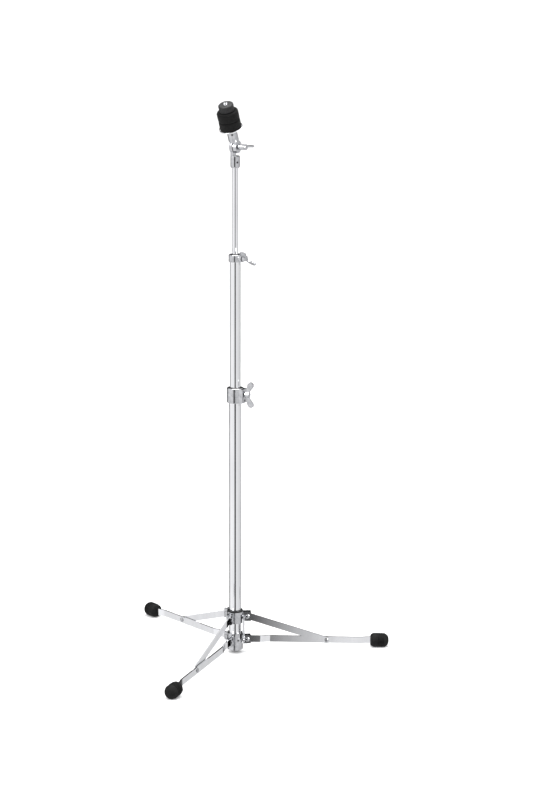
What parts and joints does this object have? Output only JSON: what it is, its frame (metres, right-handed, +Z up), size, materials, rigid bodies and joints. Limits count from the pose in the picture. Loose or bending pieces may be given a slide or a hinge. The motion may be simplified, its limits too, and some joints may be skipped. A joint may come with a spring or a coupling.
{
  "type": "cymbal stand",
  "caption": "Flat-legged folding cymbal stand with a sliding brace collar, telescoping tubes, wing-bolt clamps and a tilting felt-padded cymbal seat.",
  "frame": {"origin": "on the floor, at the middle of the stand's bounding box seen from above; the tube axis stands at x = -54.1 mm, y = 15.3 mm", "axes": "+Z up along the tubes, -Y towards the picture's viewer, +X to the picture's right"},
  "size_m": [0.4592, 0.4962, 1.009],
  "materials": {
    "chrome": "mirror chrome plate",
    "fastener_steel": "bright plated",
    "black_steel": "black oxide",
    "black_plastic": "satin black",
    "rubber": "matte black",
    "felt": "pressed black wool felt"
  },
  "bodies": {
    "base": {"base_tube": "chrome", "tube_foot_plug": "black_plastic", "lower_hub": "chrome", "hub_screw": "fastener_steel", "latch_stud": "fastener_steel", "mid_collar": "chrome", "mid_bush": "black_plastic", "mid_set_screw": "black_steel", "leg_pivot_pin_1": "fastener_steel", "leg_pivot_pin_2": "fastener_steel", "leg_pivot_pin_3": "fastener_steel"},
    "collar": {"slide_collar": "chrome", "collar_bush": "black_plastic", "latch_pin": "fastener_steel", "brace_pivot_pin_1": "fastener_steel", "brace_pivot_pin_2": "fastener_steel", "brace_pivot_pin_3": "fastener_steel"},
    "latch": {"latch_link": "chrome"},
    "mid_bolt": {"mid_wing_bolt": "fastener_steel"},
    "middle_glide": {"middle_tube_plug": "black_plastic"},
    "middle_stage": {"middle_tube": "chrome", "top_collar": "chrome", "top_bush": "black_plastic", "top_set_screw": "black_steel"},
    "top_bolt": {"top_wing_bolt": "fastener_steel"},
    "upper_glide": {"upper_rod_plug": "black_plastic"},
    "upper_stage": {"upper_rod": "chrome", "tilter_socket": "chrome", "tilter_cross_pin": "black_steel", "tilter_washer": "black_plastic"},
    "tilter_bolt": {"tilter_wing_bolt": "fastener_steel"},
    "tilter": {"tilter_head": "chrome", "neck_set_screw": "black_steel", "cymbal_rod": "fastener_steel", "cup_washer": "chrome", "cymbal_sleeve": "black_plastic", "lower_felt": "felt"},
    "felt": {"upper_felt": "felt"},
    "nut": {"cymbal_nut": "black_plastic"},
    "leg_1": {"leg_strap_1": "chrome", "leg_rivet_1": "fastener_steel", "rubber_foot_1": "rubber"},
    "brace_1": {"brace_strap_1": "chrome", "brace_rivet_1": "fastener_steel"},
    "leg_2": {"leg_strap_2": "chrome", "leg_rivet_2": "fastener_steel", "rubber_foot_2": "rubber"},
    "brace_2": {"brace_strap_2": "chrome", "brace_rivet_2": "fastener_steel"},
    "leg_3": {"leg_strap_3": "chrome", "leg_rivet_3": "fastener_steel", "rubber_foot_3": "rubber"},
    "brace_3": {"brace_strap_3": "chrome", "brace_rivet_3": "fastener_steel"}
  },
  "joints": [
    {"name": "leg_1_fold", "type": "hinge", "parent": "base", "child": "leg_1", "pos_m": [-0.03218, 0.01717, 0.0243], "axis": [0.0845, -0.9964, 0], "range_deg": [0, 84]},
    {"name": "leg_2_fold", "type": "hinge", "parent": "base", "child": "leg_2", "pos_m": [-0.06668, 0.03337, 0.0243], "axis": [0.8207, 0.5714, 0], "range_deg": [0, 84]},
    {"name": "leg_3_fold", "type": "hinge", "parent": "base", "child": "leg_3", "pos_m": [-0.06345, -0.0046, 0.0243], "axis": [-0.9052, 0.425, 0], "range_deg": [0, 84]},
    {"name": "collar_slide", "type": "slide", "parent": "base", "child": "collar", "axis": [0, 0, 1], "range_m": [0, 0.2558]},
    {"name": "brace_1_swing", "type": "hinge", "parent": "collar", "child": "brace_1", "pos_m": [-0.03218, 0.01717, 0.0682], "axis": [-0.0845, 0.9964, 0], "range_deg": [0, 62.89]},
    {"name": "brace_2_swing", "type": "hinge", "parent": "collar", "child": "brace_2", "pos_m": [-0.06668, 0.03337, 0.0682], "axis": [-0.8207, -0.5714, 0], "range_deg": [0, 62.89]},
    {"name": "brace_3_swing", "type": "hinge", "parent": "collar", "child": "brace_3", "pos_m": [-0.06345, -0.0046, 0.0682], "axis": [0.9052, -0.425, 0], "range_deg": [0, 62.89]},
    {"name": "latch_swing", "type": "hinge", "parent": "collar", "child": "latch", "pos_m": [-0.03906, 0.00697, 0.067], "axis": [0.8746, -0.4848, 0], "range_deg": [-20, 0]},
    {"name": "mid_wing_turn", "type": "hinge", "parent": "base", "child": "mid_bolt", "pos_m": [-0.03645, 0.00592, 0.485], "axis": [0.8829, -0.4695, 0], "continuous": true},
    {"name": "middle_height", "type": "slide", "parent": "base", "child": "middle_glide", "axis": [0, 0, 1], "range_m": [-0.19, 0.18]},
    {"name": "middle_swivel", "type": "hinge", "parent": "middle_glide", "child": "middle_stage", "pos_m": [-0.05411, 0.01531, 0.3], "axis": [0, 0, 1], "continuous": true},
    {"name": "top_wing_turn", "type": "hinge", "parent": "middle_stage", "child": "top_bolt", "pos_m": [-0.04229, 0.00608, 0.7316], "axis": [0.788, -0.6157, 0], "continuous": true},
    {"name": "upper_height", "type": "slide", "parent": "middle_stage", "child": "upper_glide", "axis": [0, 0, 1], "range_m": [-0.15, 0.14]},
    {"name": "upper_swivel", "type": "hinge", "parent": "upper_glide", "child": "upper_stage", "pos_m": [-0.05411, 0.01531, 0.6], "axis": [0, 0, 1], "continuous": true},
    {"name": "tilt", "type": "hinge", "parent": "upper_stage", "child": "tilter", "pos_m": [-0.05411, 0.01531, 0.927], "axis": [0.8829, -0.4695, 0], "range_deg": [-115, 65]},
    {"name": "tilter_wing_turn", "type": "hinge", "parent": "upper_stage", "child": "tilter_bolt", "pos_m": [-0.04528, 0.01062, 0.927], "axis": [0.8829, -0.4695, 0], "continuous": true},
    {"name": "nut_lift", "type": "slide", "parent": "tilter", "child": "nut", "axis": [-0.1984, -0.3731, 0.9063], "range_m": [0, 0.06]},
    {"name": "upper_felt_lift", "type": "slide", "parent": "tilter", "child": "felt", "axis": [-0.1984, -0.3731, 0.9063], "range_m": [0, 0.045]}
  ],
  "couplings": [
    {"joint": "leg_2_fold", "follows": "leg_1_fold", "ratio": 1},
    {"joint": "leg_3_fold", "follows": "leg_1_fold", "ratio": 1},
    {"joint": "collar_slide", "follows": "leg_1_fold", "m_per_rad": 0.17377},
    {"joint": "brace_1_swing", "follows": "leg_1_fold", "ratio": 0.74269},
    {"joint": "brace_2_swing", "follows": "leg_1_fold", "ratio": 0.74269},
    {"joint": "brace_3_swing", "follows": "leg_1_fold", "ratio": 0.74269},
    {"joint": "upper_felt_lift", "follows": "nut_lift", "ratio": 0.7}
  ]
}
